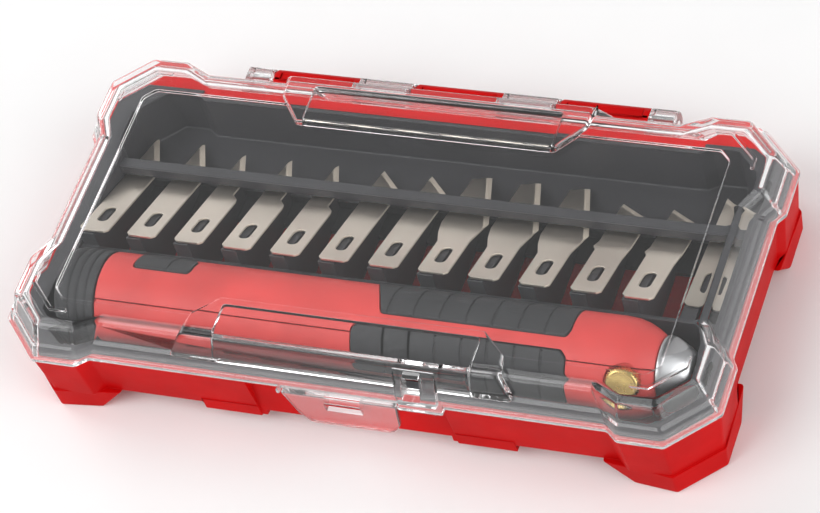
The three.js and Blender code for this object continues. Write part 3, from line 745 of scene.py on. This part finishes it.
def around_handle(tool, degrees):
    """Turns a tool about the knife's own axis, from the top towards the front."""
    axis = Vector((0, HANDLE_AXIS[0] + SHIFT_Y, HANDLE_AXIS[1] + LIFT)) * MM
    turn = Matrix.Rotation(math.radians(degrees), 4, "X")
    tool.data.transform(Matrix.Translation(axis) @ turn @ Matrix.Translation(-axis))
    return tool


def handle_block(low, high, degrees, soft=0.0):
    """A block placed in the knife's own cross-section: x along it, then across, then out."""
    offset = Vector((0, HANDLE_Y, HANDLE_Z))
    return around_handle(boxed("block", Vector(low) + offset, Vector(high) + offset, soft), degrees)


def handle_post(radius, low, high, x, degrees):
    """A round post across the knife's axis, from low to high."""
    turns = [math.tau * k / 32 for k in range(32)]
    ring = [(x + radius * math.cos(a), HANDLE_Y + radius * math.sin(a)) for a in turns]
    return around_handle(lofted("post", [(HANDLE_Z + low, ring), (HANDLE_Z + high, ring)]), degrees)


def pad_outline(spec, grow):
    left, right = spec["x0"] - grow, spec["x1"] + grow
    near, far = spec["s0"] - grow, spec["s1"] + grow
    corner = spec["corner"]
    points = [
        (left - spec["slant"], near), (right - corner * 0.2, near), (right, near + corner * 0.4),
        (right, far - corner), (right - corner, far), (left + corner, far), (left, far - corner * 0.6)]
    return rounded([(x, HANDLE_Y + s) for x, s in points], 1.5)


def pad_prism(spec, grow):
    ring = pad_outline(spec, grow)
    return around_handle(lofted("pad_cutter", [(HANDLE_Z, ring), (HANDLE_Z + 30, ring)]), spec["angle"])


def body_profile():
    r = HANDLE_R
    return [
        (CAP_JOINT + 0.3, r - 0.35), (CAP_JOINT + 0.7, r - 0.05), (CAP_JOINT + 1.2, r),
        (SHOULDER - 2, r), (SHOULDER + 1.5, r - 0.25), (SHOULDER + 4, r - 0.95),
        (SHOULDER + 6.5, r - 2.15), (SHOULDER + 8.2, r - 3.3), (BODY_END, r - 4)]


def shell_hollow():
    bore, mouth = HANDLE_R - 2.4, 5.8
    return barrel("hollow", [
        (CAP_JOINT - 1, 0), (CAP_JOINT - 1, bore), (SHOULDER, bore),
        (SHOULDER + 3, mouth), (BODY_END + 1, mouth), (BODY_END + 1, 0)], 64)


def build_shell(side):
    """side +1 is the front and lower half, -1 the rear and upper half."""
    shell = barrel("shell", [(CAP_JOINT + 0.3, 0)] + body_profile() + [(BODY_END, 0)])
    cuts = [shell_hollow()]
    cuts += [pad_pocket(spec) for spec in PADS.values()]
    cuts.append(handle_post(5.0, 9.8, 16, SCREW_X, SCREW_ANGLE))
    cuts.append(handle_post(2.0, 0, 12, SCREW_X, SCREW_ANGLE))
    cuts += [handle_post(2.6, 9, 14, x, PART_LINE + 90) for x in SHELL_SCREWS]
    shell = combine(shell, cuts, "DIFFERENCE")
    half = handle_block((-100, -30, 0.12), (100, 30, 30), PART_LINE + 90 * side)
    shell = combine(shell, [half], "INTERSECT")
    where = "front" if side > 0 else "rear"
    nodes = [f"handle_shell_{where}"]
    return finish_piece(shell, f"body_shell_{where}", BODY_RED, "knife", nodes, 0.15)


def pad_pocket(spec):
    """The room a pad is let into, down to its bed."""
    return combine(pad_prism(spec, 0.25), [rod("bed", -100, 100, HANDLE_R - 1.3)], "DIFFERENCE")


def pad_groove(x, top):
    """Fine groove across a pad."""
    ring = rod("groove", x - 0.32, x + 0.32, 20)
    return combine(ring, [rod("core", x - 2, x + 2, top - 0.25)], "DIFFERENCE")


def build_pad(name):
    spec = PADS[name]
    top = HANDLE_R + 0.25
    pad = combine(rod("pad", -100, 100, top), [pad_prism(spec, 0)], "INTERSECT")
    count = int((spec["x1"] - spec["x0"] - 4) // RIB_PITCH)
    grooves = [pad_groove(spec["x1"] - RIB_PITCH * (k + 0.9), top) for k in range(count)]
    pad = combine(pad, [rod("bed", -101, 101, HANDLE_R - 1)] + grooves, "DIFFERENCE")
    return finish_piece(pad, f"soft_{name}", RUBBER, "knife", [name], 0.15)


def build_cap():
    r, bore = HANDLE_R + 0.1, HANDLE_R - 2.7
    profile = [
        (CAP_END, 0), (CAP_END, r - 4.4), (CAP_END + 0.2, r - 3.2), (CAP_END + 0.9, r - 1.6),
        (CAP_END + 2.0, r - 0.5), (CAP_END + 3.4, r - 0.05)]
    # Turned grip grooves run round the cap.
    for k in range(3):
        x = CAP_END + 5 + 2.4 * k
        profile += [(x, r), (x + 0.25, r - 0.35), (x + 0.65, r - 0.35), (x + 0.9, r)]
    profile += [
        (CAP_JOINT - 0.3, r), (CAP_JOINT, r - 0.3), (CAP_JOINT, bore),
        (CAP_JOINT + 6, bore), (CAP_JOINT + 6, 0)]
    cap = barrel("cap", profile)
    return finish_piece(cap, "soft_end_cap", RUBBER, "knife", ["end_cap"])


def build_nose():
    nose = barrel("nose", [
        (58, 0), (58, 5.4), (BODY_END + 0.3, 5.4), (BODY_END + 0.3, 8.2), (BODY_END + 0.6, 8.4),
        (BODY_END + 2, 8.3), (NOSE_END - 2, 6.1), (NOSE_END - 0.8, 5.2), (NOSE_END - 0.2, 4.6),
        (NOSE_END, 3.8), (NOSE_END, 0)], 72)
    cuts = [
        handle_block((57, -4.5, -0.6), (88, 4.5, 0.7), SCREW_ANGLE),
        handle_block((60, -3.3, 0.3), (78, 3.3, 3.0), SCREW_ANGLE),
        handle_post(2.0, 2, 8, SCREW_X, SCREW_ANGLE)]
    # A flat is milled on the upper side of the jaws.
    cuts.append(handle_block((BODY_END + 1.2, -12, 6.2), (90, 12, 14), -28, 0.3))
    nose = combine(nose, cuts, "DIFFERENCE")
    return finish_piece(nose, "chuck_jaws", ZINC, "knife", ["nose_bolster"], 0.2)


# The thumb screw's sections along its axis: height, radius of the crests, radius of the roots.
SCREW_SECTIONS = [
    (3.05, 1.6, 1.6), (10.2, 1.6, 1.6), (10.2, 3.9, 3.9), (10.5, 4.5, 4.15), (12.5, 4.6, 4.2),
    (12.85, 4.1, 4.0), (13.0, 3.5, 3.5), (12.8, 3.0, 3.0), (12.8, 1.2, 1.2),
]


def build_thumb_screw():
    teeth = 36

    def knurl(outer, inner):
        ring = []
        for k in range(teeth * 2):
            radius, turn = inner if k % 2 else outer, math.pi * k / teeth
            ring.append((SCREW_X + radius * math.cos(turn), HANDLE_Y + radius * math.sin(turn)))
        return ring

    screw = lofted("screw", [(HANDLE_Z + z, knurl(outer, inner)) for z, outer, inner in SCREW_SECTIONS])
    screw = around_handle(screw, SCREW_ANGLE)
    return finish_piece(screw, "knurled_screw", BRASS, "screw", ["thumb_screw"])


def build_latch():
    """The latch tab narrows towards its foot and has a window for the catch."""
    def plate(half, y, z):
        return z, rounded([(-half, y), (half, y), (half, y + 1.5), (-half, y + 1.5)], 0.4, 2)

    tab = lofted("tab", [
        plate(10.4, -47.5, -13.4), plate(11.6, -47.5, -12.9), plate(12.6, -47.5, -11.8),
        plate(14.0, -47.8, -9.4), plate(15.7, -49.15, 0.5), plate(15.5, -49.1, 0.9)])
    tab = combine(tab, [boxed("window", (-4.9, -60, -6.1), (4.9, -40, -2.7))], "DIFFERENCE")
    return finish_piece(tab, "clear_latch_tab", CLEAR, "latch", ["lid_latch"], 0.15)

# ------------------------------------------------------------------ CAD nodes that stay


def keep_node(name, material, soft):
    """Gives a CAD node its finish and eases its edges."""
    node = NODES[name]
    node.data.materials.clear()
    node.data.materials.append(material)
    weld = node.modifiers.new("weld", "WELD")
    weld.merge_threshold = 0.00001
    bevel = node.modifiers.new("bevel", "BEVEL")
    bevel.width = soft * MM
    bevel.segments = 2
    bevel.limit_method = "ANGLE"
    bevel.harden_normals = True
    for polygon in node.data.polygons:
        polygon.use_smooth = True


build_base()
build_insert()
build_lid()
build_latch()
for blade_index in range(BLADE_COUNT):
    build_blade(blade_index)
build_shell(1)
build_shell(-1)
for pad_name in PADS:
    build_pad(pad_name)
build_cap()
build_nose()
build_thumb_screw()
for kept_name in ("hinge_pin", "clamp_plate", "shell_screw_1", "shell_screw_2", "shell_screw_3"):
    keep_node(kept_name, STEEL, 0.1)

# ------------------------------------------------------------------ stage, light and camera


def stage_floor():
    mesh = bpy.data.meshes.new("floor")
    edit = bmesh.new()
    reach = 3.0
    corners = [(-reach, -reach), (reach, -reach), (reach, reach), (-reach, reach)]
    edit.faces.new([edit.verts.new((x, y, 0)) for x, y in corners])
    edit.to_mesh(mesh)
    edit.free()
    floor = bpy.data.objects.new("floor", mesh)
    bpy.context.scene.collection.objects.link(floor)
    paper = moulded("floor_paper", (0.93, 0.93, 0.93), 0.9, mottle=0.005, grain=300, grain_depth=0.00001)
    floor.data.materials.append(paper)


def area_light(name, place, size, power):
    """A rectangular lamp that looks at the middle of the case."""
    data = bpy.data.lights.new(name, "AREA")
    data.shape = "RECTANGLE"
    data.size, data.size_y = size
    data.energy = power
    light = bpy.data.objects.new(name, data)
    light.location = place
    light.rotation_mode = "QUATERNION"
    light.rotation_quaternion = (Vector((0, 0, 0.02)) - Vector(place)).to_track_quat("-Z", "Y")
    bpy.context.scene.collection.objects.link(light)


def studio():
    world = bpy.data.worlds.new("studio")
    bpy.context.scene.world = world
    world.use_nodes = True
    background = world.node_tree.nodes["Background"]
    background.inputs["Color"].default_value = (1, 1, 1, 1)
    background.inputs["Strength"].default_value = 0.35
    area_light("front_left", (-0.7, -0.9, 1.1), (1.2, 1.2), 14)
    area_light("right", (1.3, -0.35, 0.7), (1.2, 1.2), 13)
    area_light("back_left", (-1.2, 0.6, 0.7), (1.0, 1.0), 9)
    # A low white card behind the case, which the slanted blades mirror.
    area_light("back_card", (-0.42, 1.2, 0.3), (1.6, 0.5), 2.0)
    bpy.context.scene.view_settings.view_transform = "Standard"


# The camera as solved from the case's outline: degrees and millimetres.
VIEW_AZIMUTH, VIEW_ELEVATION, VIEW_ROLL = 33.355, 49.323, -19.558
VIEW_TARGET, VIEW_DISTANCE = (3.807, -4.829, 22.0), 907.95
SENSOR_WIDTH, FOCAL_LENGTH = 36.0, 155.18


def camera():
    azimuth, elevation, roll = (math.radians(a) for a in (VIEW_AZIMUTH, VIEW_ELEVATION, VIEW_ROLL))
    target = Vector(VIEW_TARGET) * MM
    level = math.cos(elevation)
    back = Vector((math.sin(azimuth) * level, -math.cos(azimuth) * level, math.sin(elevation)))
    right = (-back).cross(Vector((0, 0, 1))).normalized()
    up = right.cross(-back)
    across = right * math.cos(roll) + up * math.sin(roll)
    upward = up * math.cos(roll) - right * math.sin(roll)
    data = bpy.data.cameras.new("camera")
    data.sensor_width = SENSOR_WIDTH
    data.lens = FOCAL_LENGTH
    data.clip_start, data.clip_end = 0.05, 20
    viewer = bpy.data.objects.new("camera", data)
    place = target + back * VIEW_DISTANCE * MM
    viewer.matrix_world = Matrix.Translation(place) @ Matrix((across, upward, back)).transposed().to_4x4()
    bpy.context.scene.collection.objects.link(viewer)
    bpy.context.scene.camera = viewer


stage_floor()
studio()
camera()
